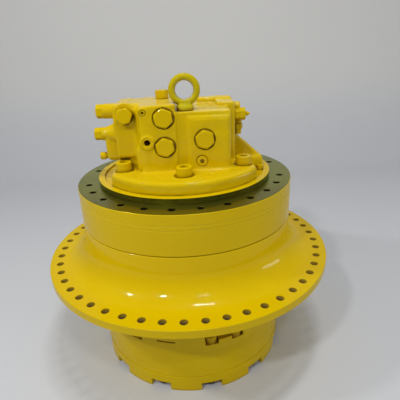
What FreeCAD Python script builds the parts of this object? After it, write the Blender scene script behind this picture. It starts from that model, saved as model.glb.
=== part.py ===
import FreeCAD, Part
import math
import os

# Bulldozer final drive: hydrostatic travel motor, two-stage planetary gearbox and sprocket hub.
# Lengths are millimetres and angles are degrees. +Z runs up the axis to the motor, and z = 0 is
# the top face of the sprocket flange. The fixed side bolts to the track frame, the hub turns.

V = FreeCAD.Vector
UP = V(0, 0, 1)
ORIGIN = V(0, 0, 0)

# Clearances
running = 0.05
facing_gap = 0.3
thread_gap = 0.1

# Sprocket hub, the turning bell with the drilled flange
flange_thick = 25.0
flange_margin = 31.0
sprocket_pcd = 850.0
sprocket_holes = 50
sprocket_hole_r = 11.0
sprocket_phase = 0.79
bell_r = 334.0
bell_top = 126.0
flare_r = 76.0
neck_fillet = 12.0
hub_foot = -218.0
edge_break = 1.5
hex_face_share = 0.46

# Pockets in the neck, each with a sunk seat for a ring screw at both ends, and narrow slots
pocket_count = 6
pocket_from = -84.0
pocket_to = -60.5
pocket_floor = -178.0
pocket_top = -122.0
slot_from = -111.0
slot_to = -100.5
slot_floor = -178.0
slot_top = -173.5
slot_depth = 14.0
pocket_depth = 44.0
ring_screw_depth = 19.0
ring_screw_angles = (-80.0, -64.5)
screw_seat_z = -191.0
screw_seat_r = 20.0

# Main roller bearings between spindle and hub
race_in_r = 200.0
race_section = 50.0
roller_share = 0.28
shoulder_step = 12.0
spindle_step = 16.0
race_width = 50.0
upper_race_top = 120.0
lower_race_top = -55.0
roller_count = 24
roller_length = 40.0
roller_tilt = 15.0
cage_thick = 6.0
window_room = 1.0

# Spindle, the fixed hub that bolts to the track frame
seal_gap = 3.0
frame_face = 245.0
pilot_r = 269.0
pilot_height = 17.4
pilot_chamfer = 1.0
undercut_height = 3.0
undercut_depth = 2.5
recess_r = 251.0
recess_depth = 5.0
frame_pcd = 600.0
frame_positions = 26
frame_hole_r = 10.0
frame_hole_depth = 45.0
groove_heights = (213.0, 200.6)
groove_width = 1.6
groove_depth = 1.2
skirt_in_r = 312.0
skirt_roof = 152.0
spindle_end = -150.0
motor_bore_r = 140.0
ledge_z = 105.0
lower_bore_r = 120.0
chamber_floor = 20.0
shaft_passage_r = 45.0

# Face seal between spindle and hub
seal_in_r = 272.0
seal_width = 28.0
seal_split = 139.0
seal_lip = 6.0

# Gears: one toothed ring serves both planetary stages
module = 10.0
pressure = 25.0
ring_teeth = 48
sun_teeth = 12
planet_teeth = 18
backlash = 0.25
addendum = 1.0
dedendum = 1.25
planets = 3
gear_top = -206.0
outer_face_width = 46.0
inner_face_width = 32.0
stage_2_angle = 60.0
stage_1_angle = 0.0
end_float = 2.0

# Ring gear drum and its screws
drum_foot = -307.0
ring_wall = 53.5
spigot_wall = 15.5
ring_screw_thread_r = 12.0
ring_screw_head_r = 18.0
ring_screw_head = 24.0
ring_screw_tip = -250.0

# End cover with twelve lugs
cover_thick = 27.0
cover_overhang = 2.0
lug_depth = 46.0
cover_bolt_inset = 25.0
lug_height = 26.0
lug_count = 12
lug_width = 18.0
lug_phase = -65.9
cover_bolt_thread_r = 12.0
cover_bolt_af = 36.0
cover_bolt_head = 15.0
cover_bolt_grip = 45.0
oil_plug_count = 3
oil_plug_pcd = 300.0
oil_plug_r = 16.5
oil_plug_head_r = 24.0
oil_plug_head = 6.0
oil_plug_depth = 18.0

# Carriers, planet pins and bushes
carrier_2_r = 238.0
carrier_2_foot = -204.0
collar_r = 214.0
carrier_bore_r = 50.0
pin_2_r = 36.0
bush_2_wall = 8.0
pin_2_seat = 44.0
pin_1_r = 28.0
bush_1_wall = 7.0
carrier_1_r = 196.0
carrier_1_thick = 12.0
pin_head_thick = 2.0
sun_neck_r = 40.0
sun_bore_r = 27.0
carrier_screw_count = 12
carrier_screw_pcd = 368.0
carrier_screw_r = 8.0
carrier_screw_head_r = 12.0
carrier_screw_head = 16.0
carrier_screw_sunk = 18.0
carrier_screw_thread = 32.0

# Hydraulic motor
shaft_r = 24.0
shaft_mid_r = 34.0
shaft_top_r = 22.0
top_bearing_width = 22.6
shaft_bearing_r = 62.0
shaft_bearing_width = 35.0
top_bearing_r = 40.0
head_spigot = 12.4
valve_plate_thick = 10.0
valve_plate_r = 86.0
kidney_r = 62.0
kidney_width = 14.0
kidney_span = 130.0
block_r = 88.0
block_foot = 95.0
cylinder_top = 225.0
piston_count = 9
piston_r = 11.0
piston_top = 180.0
slipper_r = 16.0
slipper_thick = 10.0
swash_r = 115.0
swash_thick = 40.0
disc_count = 4
disc_thick = 4.0
disc_out_r = 128.0
plate_in_r = 94.0
brake_piston_in_r = 100.0
spring_height = 24.0
spring_plate = 5.0
spring_out_r = 132.0
spring_in_r = 106.0

# Motor head casting
head_plate_top = 297.0
head_plate_r = 250.0
head_flat_x = 208.0
head_notch_y = -25.0
head_plate_fillet = 10.0
head_screw_side_r = 202.0
head_screw_mid_r = 180.0
head_screw_places = ((head_screw_side_r, 30.0), (head_screw_mid_r, 90.0), (head_screw_side_r, 150.0),
                     (head_screw_side_r, 210.0), (head_screw_mid_r, 270.0), (head_screw_side_r, 330.0))
head_screw_thread_r = 15.0
head_screw_head_r = 22.5
head_screw_head = 30.0
head_screw_spot_r = 28.0
head_screw_spot = 6.5
head_screw_grip = 50.0
tool_room = 40.0
front_y = -146.0
casting_rear_y = 70.0
rear_y = 140.0
right_x = 135.0
step_x = -15.0
left_x = -117.0
wing_x = -193.0
wing_front_y = -82.0
wing_rear_y = 64.0
right_top = 460.0
left_top = 481.0
block_corner_r = 14.0
block_top_r = 12.0
left_corner_r = 7.0
left_top_r = 6.0
slope_height = 24.0
slope_depth = 7.0
wing_foot_x = -180.0
web_x = -229.0
web_front_y = -61.0
web_rear_y = -23.0
web_top = 393.0
web_foot = 314.0
raised_x = 105.0
raised_front_y = -62.0
raised_side_x = 158.0
raised_top = 471.0
port_block_x = (-112.0, 100.0)
port_block_top = 430.0
valley_x = -11.0
valley_r = 30.0
valley_depth = 5.0
rib_count = 3
rib_thick = 10.0
rib_pitch = 30.0
rib_first_y = -15.0
rib_reach = 82.0
rib_height = 74.0

# Front of the head: plugs, bosses and the open port, as x and z on the front face
port_plug_places = ((61.7, 383.6), (-48.6, 446.0), (-48.9, 366.8))
port_plug_recess_r = 29.3
port_plug_recess = 8.0
port_plug_af = 48.0
port_plug_turn = 39.5
port_plug_proud = 5.0
port_plug_thread_r = 20.0
port_plug_depth = 24.0
gauge_x = 52.1
gauge_z = 323.1
gauge_r = 17.5
gauge_recess = 3.0
gauge_plug_r = 14.5
gauge_socket_af = 10.0
pin_plug_x = -103.0
pin_plug_z = 463.0
pin_plug_r = 7.6
port_x = -96.7
port_z = 381.7
port_boss_r = 20.0
port_hole_r = 8.5
port_hole_depth = 40.0
boss_proud = 4.0
cap_x = -158.6
cap_z = 450.5
cap_boss_r = 34.0
cap_boss_drop = 24.5
cap_boss_back = 40.0
cap_boss_proud = 6.0
cap_af = 41.0
cap_turn = 10.0
cap_height = 22.0
cap_thread_r = 15.0
cap_depth = 30.0

# Sides and top of the head
left_plug_y = -25.0
left_plug_z = 456.0
left_plug_af = 36.0
left_plug_neck_r = 22.0
left_plug_neck = 36.0
left_plug_hex = 20.0
left_port_y = -42.0
left_port_z = 393.5
left_port_boss_r = 32.0
left_port_boss = 32.0
left_port_neck_r = 19.0
left_port_neck = 13.0
left_port_af = 32.0
left_port_hex = 20.0
knob_y = -46.0
knob_z = 328.0
knob_r = 11.5
knob_neck_r = 8.0
knob_neck = 3.0
knob_head = 18.0
side_cap_y = 12.0
side_cap_z = 447.0
side_cap_r = 14.5
side_cap_reach = 24.0
side_cap_round = 6.0
adjuster_y = -28.0
adjuster_z = 429.6
adjuster_body_af = 30.0
adjuster_body = 15.0
adjuster_nut_af = 32.0
adjuster_nut = 18.0
adjuster_r = 6.5
adjuster_reach = 26.0
adjuster_point = 7.0
elbow_y = -2.0
elbow_x = 174.0
elbow_z = 405.0
elbow_r = 9.5
elbow_ball_r = 11.5
elbow_nut_af = 24.0
elbow_nut = 16.0
elbow_nut_drop = 8.0
elbow_down = 40.0
top_plug_x = -55.4
top_plug_y = 14.0
top_plug_af = 35.0
top_plug_height = 25.0
top_plug_neck_r = 19.0
top_plug_neck = 8.0
rim_screw_angle = -11.0
rim_screw_pitch_r = 240.0
rim_screw_r = 9.5
rim_screw_head = 18.0
rim_screw_thread_r = 5.0
rim_screw_grip = 20.0

# Oil ports on the rear face of the head
main_port_z = 372.0
main_port_x = (-73.0, 62.0)
main_port_r = 19.0
main_port_depth = 80.0
main_bolt_x = 36.5
main_bolt_z = 79.4
main_bolt_r = 8.0
main_bolt_depth = 30.0
drain_y = 90.0
drain_z = 347.0
drain_r = 13.2
drain_depth = 16.0

# Lifting eye bolt
eye_x = 12.0
eye_y = -104.0
eye_collar_r = 23.0
eye_collar = 12.0
eye_ring_z = 54.0
eye_ring_r = 34.0
eye_wire_r = 9.7
eye_foot_r = 16.0
eye_thread_r = 12.0
eye_depth = 30.0

flange_r = sprocket_pcd / 2 + flange_margin
pitch_ring_r = module * ring_teeth / 2
neck_r = pitch_ring_r + dedendum * module + ring_wall
spigot_r = pitch_ring_r + dedendum * module + spigot_wall
pocket_in_r = neck_r - pocket_depth
ring_screw_r = neck_r - ring_screw_depth
cover_r = neck_r + cover_overhang
lug_in_r = cover_r - lug_depth
cover_bolt_r = cover_r - cover_bolt_inset
race_out_r = race_in_r + race_section
roller_pitch_r = race_in_r + race_section / 2
roller_r = roller_share * race_section
shoulder_r = race_out_r - shoulder_step
shoulder_out_r = race_in_r + spindle_step
spindle_r = bell_r
seal_out_r = seal_in_r + seal_width
pitch_sun_r = module * sun_teeth / 2
pitch_planet_r = module * planet_teeth / 2
centre_distance = pitch_sun_r + pitch_planet_r
pilot_top = frame_face + pilot_height
head_seat = pilot_top - recess_depth
shaft_top = pilot_top + top_bearing_width
planet_2_foot = gear_top - outer_face_width
carrier_1_top = planet_2_foot - end_float - pin_head_thick - end_float / 2
carrier_1_foot = carrier_1_top - carrier_1_thick
planet_1_top = carrier_1_foot - end_float
planet_1_foot = planet_1_top - inner_face_width
cover_foot = drum_foot - cover_thick
valve_face = pilot_top - head_spigot - valve_plate_thick
swash_face = chamber_floor + swash_thick
brake_stack = (2 * disc_count + 1) * (disc_thick + facing_gap)
plug_seat_y = front_y + port_plug_recess


def polar(radius, angle, z=0.0):
    return V(radius * math.cos(math.radians(angle)), radius * math.sin(math.radians(angle)), z)


def cylinder(radius, z_low, z_high, x=0.0, y=0.0):
    return Part.makeCylinder(radius, z_high - z_low, V(x, y, z_low), UP)


def tube(radius_out, radius_in, z_low, z_high):
    return cylinder(radius_out, z_low, z_high).cut(cylinder(radius_in, z_low, z_high))


def rod_along(direction, radius, start, length):
    return Part.makeCylinder(radius, length, start, direction)


def revolve(points):
    corners = [V(r, 0, z) for r, z in points]
    face = Part.Face(Part.makePolygon(corners + corners[:1]))
    return face.revolve(ORIGIN, UP, 360)


def sector(r_in, r_out, from_angle, to_angle, z_low, z_high):
    span = to_angle - from_angle
    wedge = Part.makeCylinder(r_out, z_high - z_low, V(0, 0, z_low), UP, span)
    wedge.rotate(ORIGIN, UP, from_angle)
    return wedge.cut(cylinder(r_in, z_low, z_high))


def turned(shape, angle):
    copy = shape.copy()
    copy.rotate(ORIGIN, UP, angle)
    return copy


def moved(shape, place):
    copy = shape.copy()
    copy.translate(place)
    return copy


def pattern(shape, count, first=0.0):
    return [turned(shape, first + 360.0 / count * k) for k in range(count)]


def along(shape, direction, place):
    """Stand a shape that was made along +Z on a face that looks along direction."""
    copy = shape.copy()
    copy.rotate(ORIGIN, UP.cross(direction) if abs(direction.z) < 0.9 else V(1, 0, 0),
                math.degrees(UP.getAngle(direction)))
    copy.translate(place)
    return copy


def hexagon(across_flats, z_low, z_high, turn=0.0):
    corner = across_flats / math.sqrt(3)
    points = [polar(corner, 60 * k + turn, z_low) for k in range(7)]
    return Part.Face(Part.makePolygon(points)).extrude(V(0, 0, z_high - z_low))


def chamfered_hexagon(across_flats, height, turn=0.0):
    """Hexagon whose free end is turned off to a cone, as on a bolt head."""
    corner = across_flats / math.sqrt(3)
    bevel = corner - hex_face_share * across_flats
    blank = cylinder(corner, 0, height)
    rim = [e for e in blank.Edges if e.BoundBox.ZMin > height - thread_gap]
    return hexagon(across_flats, 0, height, turn).common(blank.makeChamfer(bevel / 2, bevel, rim))


def round_polygon(points, radius, z):
    """Closed wire at height z through points, each corner rounded to radius."""
    count = len(points)
    corners = [V(x, y, z) for x, y in points]
    stretches = []
    for k in range(count):
        here = corners[k]
        back = (corners[k - 1] - here).normalize()
        ahead = (corners[(k + 1) % count] - here).normalize()
        half = back.getAngle(ahead) / 2
        reach = radius / math.tan(half)
        inward = (back + ahead).normalize()
        middle = here + inward * (radius / math.sin(half) - radius)
        stretches.append((here + back * reach, middle, here + ahead * reach))
    edges = []
    for k in range(count):
        start, middle, end = stretches[k]
        edges.append(Part.Arc(start, middle, end).toShape())
        edges.append(Part.LineSegment(end, stretches[(k + 1) % count][0]).toShape())
    return Part.Wire(edges)


def cast_block(points, corner_r, z_low, z_high, top_r, round_foot=False):
    """Upright cast block with rounded corners and a rounded top edge, and foot edge if wanted."""
    block = Part.Face(round_polygon(points, corner_r, z_low)).extrude(V(0, 0, z_high - z_low))
    rim = [e for e in block.Edges if e.BoundBox.ZMin > z_high - thread_gap]
    if round_foot:
        rim += [e for e in block.Edges if e.BoundBox.ZMax < z_low + thread_gap]
    return block.makeFillet(top_r, rim)


def rectangle(x_low, x_high, y_low, y_high):
    return ((x_low, y_low), (x_high, y_low), (x_high, y_high), (x_low, y_high))


def involute(angle):
    return math.tan(angle) - angle


def gear_wire(teeth, r_low, r_high, thickening, shift):
    """Outline with involute flanks; its teeth stand outwards and tooth 0 is turned by shift."""
    pitch_r = module * teeth / 2
    base_r = pitch_r * math.cos(math.radians(pressure))
    half_pitch = math.pi / (2 * teeth) + thickening / pitch_r
    at_pitch = half_pitch + involute(math.radians(pressure))
    flank_low = max(r_low, base_r)
    radii = (flank_low, (flank_low + r_high) / 2, r_high)
    halves = [math.degrees(at_pitch - involute(math.acos(base_r / r))) for r in radii]
    step = 360.0 / teeth
    edges = []
    for k in range(teeth):
        centre = shift + step * k
        rising = [polar(r, centre - h) for r, h in zip(radii, halves)]
        falling = [polar(r, centre + h) for r, h in zip(radii, halves)]
        root_in = polar(r_low, centre - halves[0])
        root_out = polar(r_low, centre + halves[0])
        if r_low < flank_low:
            edges.append(Part.LineSegment(root_in, rising[0]).toShape())
        edges.append(Part.Arc(*rising).toShape())
        edges.append(Part.Arc(rising[2], polar(r_high, centre), falling[2]).toShape())
        edges.append(Part.Arc(*reversed(falling)).toShape())
        if r_low < flank_low:
            edges.append(Part.LineSegment(falling[0], root_out).toShape())
        next_in = polar(r_low, centre + step - halves[0])
        edges.append(Part.Arc(root_out, polar(r_low, centre + step / 2), next_in).toShape())
    return Part.Wire(edges)


def spur_gear(teeth, z_low, z_high, shift=0.0):
    pitch_r = module * teeth / 2
    wire = gear_wire(teeth, pitch_r - dedendum * module, pitch_r + addendum * module,
                     -backlash, shift)
    gear = Part.Face(wire).extrude(V(0, 0, z_high - z_low))
    return moved(gear, V(0, 0, z_low))


def ring_gear_void(z_low, z_high):
    step = 360.0 / ring_teeth
    wire = gear_wire(ring_teeth, pitch_ring_r - addendum * module,
                     pitch_ring_r + dedendum * module, backlash, step / 2)
    return moved(Part.Face(wire).extrude(V(0, 0, z_high - z_low)), V(0, 0, z_low))


def socket_screw(head_r, head_height, thread_r, grip, socket_af):
    """Socket head cap screw standing on z = 0, thread downwards."""
    head = cylinder(head_r, 0, head_height)
    rim = [e for e in head.Edges if e.BoundBox.ZMin > head_height - thread_gap]
    head = head.makeChamfer(edge_break, rim)
    screw = head.fuse(cylinder(thread_r, -grip, 0))
    return screw.cut(hexagon(socket_af, head_height / 2, head_height))


def hex_plug(across_flats, height, thread_r, depth, turn=0.0):
    """Hexagon plug standing on z = 0, thread downwards."""
    return chamfered_hexagon(across_flats, height, turn).fuse(cylinder(thread_r, -depth, 0))


def at_head_screws(shape):
    return [turned(moved(shape, V(radius, 0, 0)), angle) for radius, angle in head_screw_places]


def keep(name, *solids):
    shape = solids[0] if len(solids) == 1 else Part.makeCompound(list(solids))
    shape.exportStep("parts/" + name + ".step")


def make_sprocket_hub():
    profile = [
        (race_out_r + running, bell_top), (bell_r - edge_break, bell_top),
        (bell_r, bell_top - edge_break), (bell_r, flare_r),
    ]
    corners = [V(r, 0, z) for r, z in profile]
    centre_r = bell_r + flare_r
    flare_mid = V(centre_r - flare_r * math.cos(math.pi / 4), 0, flare_r * (1 - math.sin(math.pi / 4)))
    fillet_mid = V(neck_r + neck_fillet * (1 - math.cos(math.pi / 4)), 0,
                   -flange_thick - neck_fillet * (1 - math.sin(math.pi / 4)))
    fillet_start = V(neck_r + neck_fillet, 0, -flange_thick)
    fillet_end = V(neck_r, 0, -flange_thick - neck_fillet)
    rim = [V(centre_r, 0, 0), V(flange_r - edge_break, 0, 0), V(flange_r, 0, -edge_break),
           V(flange_r, 0, edge_break - flange_thick), V(flange_r - edge_break, 0, -flange_thick),
           fillet_start]
    inside = [fillet_end, V(neck_r, 0, hub_foot), V(spigot_r + running, 0, hub_foot),
              V(spigot_r + running, 0, gear_top), V(race_out_r + running, 0, gear_top),
              V(race_out_r + running, 0, lower_race_top), V(shoulder_r, 0, lower_race_top),
              V(shoulder_r, 0, upper_race_top - race_width),
              V(race_out_r + running, 0, upper_race_top - race_width), corners[0]]
    edges = [Part.makePolygon(corners), Part.Arc(corners[-1], flare_mid, rim[0]).toShape(),
             Part.makePolygon(rim), Part.Arc(fillet_start, fillet_mid, fillet_end).toShape(),
             Part.makePolygon(inside)]
    hub = Part.Face(Part.Wire([e for part in edges for e in part.Edges])).revolve(ORIGIN, UP, 360)
    hole = cylinder(sprocket_hole_r, -flange_thick, 0, sprocket_pcd / 2)
    cuts = pattern(hole, sprocket_holes, sprocket_phase)
    pocket = sector(pocket_in_r, neck_r + neck_fillet, pocket_from, pocket_to, pocket_floor, pocket_top)
    cuts += pattern(pocket, pocket_count)
    slot = sector(neck_r - slot_depth, neck_r + neck_fillet, slot_from, slot_to, slot_floor, slot_top)
    cuts += pattern(slot, pocket_count)
    seat = cylinder(screw_seat_r, screw_seat_z, pocket_floor, ring_screw_r)
    way_in = Part.makeBox(ring_screw_depth + neck_fillet, 2 * screw_seat_r, pocket_floor - screw_seat_z,
                          V(ring_screw_r, -screw_seat_r, screw_seat_z))
    seat = seat.fuse(way_in)
    through = cylinder(ring_screw_thread_r + thread_gap, hub_foot, screw_seat_z, ring_screw_r)
    for angle in ring_screw_angles:
        cuts += pattern(seat, pocket_count, angle) + pattern(through, pocket_count, angle)
    return hub.cut(cuts)


def make_ring_screws():
    screw = socket_screw(ring_screw_head_r, ring_screw_head, ring_screw_thread_r,
                         screw_seat_z - ring_screw_tip, ring_screw_head_r)
    screw = moved(screw, V(ring_screw_r, 0, screw_seat_z))
    return [copy for angle in ring_screw_angles for copy in pattern(screw, pocket_count, angle)]


def make_ring_gear():
    drum = revolve([(pitch_ring_r - 2 * module, gear_top), (spigot_r, gear_top), (spigot_r, hub_foot),
                    (neck_r, hub_foot), (neck_r, drum_foot), (pitch_ring_r - 2 * module, drum_foot)])
    drum = drum.cut(ring_gear_void(drum_foot, gear_top))
    upper = cylinder(ring_screw_thread_r + thread_gap, ring_screw_tip - edge_break, hub_foot, ring_screw_r)
    lower = cylinder(cover_bolt_thread_r + thread_gap, drum_foot, cover_foot + cover_thick + cover_bolt_grip,
                     cover_bolt_r)
    cuts = pattern(lower, lug_count, lug_phase + 180.0 / lug_count)
    for angle in ring_screw_angles:
        cuts += pattern(upper, pocket_count, angle)
    return drum.cut(cuts)


def make_end_cover():
    plate = revolve([(0, drum_foot), (cover_r - edge_break, drum_foot), (cover_r, drum_foot - edge_break),
                     (cover_r, cover_foot), (0, cover_foot)])
    lug = sector(lug_in_r, cover_r, -lug_width / 2, lug_width / 2, cover_foot - lug_height, cover_foot)
    plate = plate.fuse(pattern(lug, lug_count, lug_phase))
    bolt_hole = cylinder(cover_bolt_thread_r + thread_gap, cover_foot, drum_foot, cover_bolt_r)
    cuts = pattern(bolt_hole, lug_count, lug_phase + 180.0 / lug_count)
    plug_hole = cylinder(oil_plug_r + thread_gap, cover_foot, cover_foot + oil_plug_depth + edge_break,
                         oil_plug_pcd / 2)
    cuts += pattern(plug_hole, oil_plug_count)
    return plate.cut(cuts).removeSplitter()


def make_cover_bolts():
    bolt = along(hex_plug(cover_bolt_af, cover_bolt_head, cover_bolt_thread_r,
                          cover_thick + cover_bolt_grip - edge_break), V(0, 0, -1),
                 V(cover_bolt_r, 0, cover_foot))
    return pattern(bolt, lug_count, lug_phase + 180.0 / lug_count)


def make_oil_plugs():
    plug = socket_screw(oil_plug_head_r, oil_plug_head, oil_plug_r, oil_plug_depth, oil_plug_r)
    plug = along(plug, V(0, 0, -1), V(oil_plug_pcd / 2, 0, cover_foot))
    return pattern(plug, oil_plug_count)


def make_spindle():
    seal_low = bell_top + seal_gap
    profile = [(motor_bore_r, head_seat), (recess_r, head_seat), (recess_r, pilot_top),
               (pilot_r - pilot_chamfer, pilot_top),
               (pilot_r, pilot_top - pilot_chamfer), (pilot_r, frame_face + undercut_height),
               (pilot_r - undercut_depth, frame_face + undercut_height),
               (pilot_r - undercut_depth, frame_face), (spindle_r - edge_break, frame_face),
               (spindle_r, frame_face - edge_break)]
    for height in groove_heights:
        profile += [(spindle_r, height + groove_width / 2), (spindle_r - groove_depth, height),
                    (spindle_r, height - groove_width / 2)]
    profile += [(spindle_r, seal_low), (skirt_in_r, seal_low), (skirt_in_r, skirt_roof),
                (shoulder_out_r, skirt_roof), (shoulder_out_r, upper_race_top),
                (race_in_r, upper_race_top), (race_in_r, spindle_end), (shaft_passage_r, spindle_end),
                (shaft_passage_r, chamber_floor - shaft_bearing_width),
                (shaft_bearing_r, chamber_floor - shaft_bearing_width),
                (shaft_bearing_r, chamber_floor), (lower_bore_r, chamber_floor),
                (lower_bore_r, ledge_z), (motor_bore_r, ledge_z)]
    spindle = revolve(profile)
    hole = cylinder(frame_hole_r, frame_face - frame_hole_depth, frame_face, frame_pcd / 2)
    step = 360.0 / frame_positions
    missing = (0, frame_positions // 2)
    cuts = [turned(hole, step * k) for k in range(frame_positions) if k not in missing]
    head_hole = cylinder(head_screw_thread_r + thread_gap, head_seat - head_screw_grip, head_seat)
    cuts += at_head_screws(head_hole)
    carrier_hole = cylinder(carrier_screw_r + thread_gap, spindle_end,
                            spindle_end + carrier_screw_thread + edge_break, carrier_screw_pcd / 2)
    cuts += pattern(carrier_hole, carrier_screw_count, 180.0 / carrier_screw_count)
    rim_hole = cylinder(rim_screw_thread_r + thread_gap, head_seat - rim_screw_grip - edge_break,
                        head_seat, rim_screw_pitch_r)
    cuts.append(turned(rim_hole, rim_screw_angle))
    return spindle.cut(cuts)


def race_profiles(top):
    """Cone and cup of a taper roller bearing; the rollers' axes lean by roller_tilt."""
    middle = top - race_width / 2
    apex = roller_pitch_r / math.sin(math.radians(roller_tilt))
    taper = math.degrees(math.asin(roller_r / apex))
    slopes = []
    for side in (-1, 1):
        angle = math.radians(roller_tilt + side * taper)
        reach = (roller_r * math.cos(math.radians(taper)) + facing_gap) / math.cos(angle)
        slopes.append((roller_pitch_r + side * reach, math.tan(angle)))
    return middle, slopes, taper


def make_bearing(top, lean):
    """Inner race, outer race, rollers and cage; lean is 1 when the rollers open upwards."""
    middle, slopes, taper = race_profiles(top)
    low, high = middle - race_width / 2, middle + race_width / 2
    half = race_width / 2
    (cone_r, cone_slope), (cup_r, cup_slope) = slopes
    inner = revolve([(race_in_r + running, low), (cone_r - lean * half * cone_slope, low),
                     (cone_r + lean * half * cone_slope, high), (race_in_r + running, high)])
    outer = revolve([(race_out_r, low), (cup_r - lean * half * cup_slope, low),
                     (cup_r + lean * half * cup_slope, high), (race_out_r, high)])
    swell = roller_length / 2 * math.tan(math.radians(taper))
    roller = Part.makeCone(roller_r - swell, roller_r + swell, roller_length,
                           V(0, 0, -roller_length / 2), UP)
    if lean < 0:
        roller.rotate(ORIGIN, V(1, 0, 0), 180)
    roller.rotate(ORIGIN, V(0, 1, 0), lean * roller_tilt)
    rollers = pattern(moved(roller, V(roller_pitch_r, 0, middle)), roller_count)
    slope = math.tan(math.radians(roller_tilt))
    cage_half = roller_length / 2 + edge_break * 2
    shift = lean * cage_half * slope
    cage = revolve([(roller_pitch_r - cage_thick / 2 - shift, middle - cage_half),
                    (roller_pitch_r + cage_thick / 2 - shift, middle - cage_half),
                    (roller_pitch_r + cage_thick / 2 + shift, middle + cage_half),
                    (roller_pitch_r - cage_thick / 2 + shift, middle + cage_half)])
    width = 2 * (roller_r + window_room)
    tall = roller_length + window_room
    window = Part.makeBox(2 * width, width, tall, V(-width, -width / 2, -tall / 2))
    window.rotate(ORIGIN, V(0, 1, 0), lean * roller_tilt)
    cage = cage.cut(pattern(moved(window, V(roller_pitch_r, 0, middle)), roller_count))
    return inner, outer, rollers, cage


def make_seal_rings():
    roof, floor = skirt_roof, bell_top
    fixed = revolve([(seal_in_r, roof), (seal_in_r, seal_split + running / 2),
                     (seal_out_r, seal_split + running / 2), (seal_out_r, seal_split + seal_lip),
                     (seal_out_r - seal_lip, roof)])
    moving = revolve([(seal_in_r, floor), (seal_out_r - seal_lip, floor),
                      (seal_out_r, seal_split - seal_lip), (seal_out_r, seal_split - running / 2),
                      (seal_in_r, seal_split - running / 2)])
    return fixed, moving


def make_carrier_2():
    carrier = revolve([(race_in_r + facing_gap, lower_race_top - race_width),
                       (collar_r, lower_race_top - race_width), (collar_r, spindle_end),
                       (carrier_2_r, spindle_end), (carrier_2_r, carrier_2_foot),
                       (carrier_bore_r, carrier_2_foot), (carrier_bore_r, spindle_end),
                       (race_in_r + facing_gap, spindle_end)])
    pin_hole = cylinder(pin_2_r + running, carrier_2_foot, carrier_2_foot + pin_2_seat, centre_distance)
    cuts = pattern(pin_hole, planets, stage_2_angle)
    sunk = cylinder(carrier_screw_head_r + facing_gap, carrier_2_foot, carrier_2_foot + carrier_screw_sunk,
                    carrier_screw_pcd / 2)
    through = cylinder(carrier_screw_r + thread_gap, carrier_2_foot, spindle_end, carrier_screw_pcd / 2)
    turn = 180.0 / carrier_screw_count
    cuts += pattern(sunk, carrier_screw_count, turn) + pattern(through, carrier_screw_count, turn)
    return carrier.cut(cuts)


def make_carrier_screws():
    seat = carrier_2_foot + carrier_screw_sunk
    screw = socket_screw(carrier_screw_head_r, carrier_screw_head, carrier_screw_r,
                         spindle_end - seat + carrier_screw_thread, carrier_screw_r)
    screw = along(screw, V(0, 0, -1), V(carrier_screw_pcd / 2, 0, seat))
    return pattern(screw, carrier_screw_count, 180.0 / carrier_screw_count)


def make_pins(radius, bush_wall, top, planet_foot, first):
    head_top = planet_foot - facing_gap
    pin = cylinder(radius, head_top, top, centre_distance)
    pin = pin.fuse(cylinder(radius + bush_wall, head_top - pin_head_thick, head_top, centre_distance))
    return pattern(pin, planets, first)


def make_bushes(radius, wall, top, foot, first):
    bush = tube(radius + wall, radius + running, foot, top)
    return pattern(moved(bush, V(centre_distance, 0, 0)), planets, first)


def make_planets(bore_r, foot, top, first):
    half_step = 180.0 / planet_teeth
    gear = spur_gear(planet_teeth, foot, top, half_step).cut(cylinder(bore_r, foot, top))
    return pattern(moved(gear, V(centre_distance, 0, 0)), planets, first)


def make_sun_2():
    gear = spur_gear(sun_teeth, planet_2_foot, gear_top)
    gear = gear.fuse(cylinder(sun_neck_r, carrier_1_foot, planet_2_foot))
    return gear.cut(cylinder(sun_bore_r, carrier_1_foot, gear_top))


def make_sun_1():
    return spur_gear(sun_teeth, planet_1_foot, planet_1_top).cut(
        cylinder(shaft_r + running, planet_1_foot, planet_1_top))


def make_carrier_1():
    plate = tube(carrier_1_r, sun_neck_r + running, carrier_1_foot, carrier_1_top)
    pin_hole = cylinder(pin_1_r + running, carrier_1_foot, carrier_1_top, centre_distance)
    return plate.cut(pattern(pin_hole, planets, stage_1_angle))


def make_shaft():
    bearing_foot = chamber_floor - shaft_bearing_width
    return revolve([(0, planet_1_foot), (shaft_r, planet_1_foot), (shaft_r, bearing_foot),
                    (shaft_mid_r, bearing_foot), (shaft_mid_r, valve_face - edge_break),
                    (shaft_top_r, valve_face - edge_break), (shaft_top_r, shaft_top), (0, shaft_top)])


def make_cylinder_block():
    block = tube(block_r, shaft_mid_r + running, block_foot, valve_face - running)
    bore = cylinder(piston_r + running, block_foot, cylinder_top, kidney_r)
    return block.cut(pattern(bore, piston_count))


def make_pistons():
    slipper_top = swash_face + running + slipper_thick
    piston = cylinder(piston_r, slipper_top, piston_top, kidney_r)
    piston = piston.fuse(cylinder(slipper_r, swash_face + running, slipper_top, kidney_r))
    return pattern(piston, piston_count)


def make_valve_plate():
    top = pilot_top - head_spigot
    plate = tube(valve_plate_r, shaft_top_r + edge_break, valve_face, top)
    kidney = sector(kidney_r - kidney_width / 2, kidney_r + kidney_width / 2,
                    -kidney_span / 2, kidney_span / 2, valve_face, top)
    return plate.cut(pattern(kidney, 2))


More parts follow.
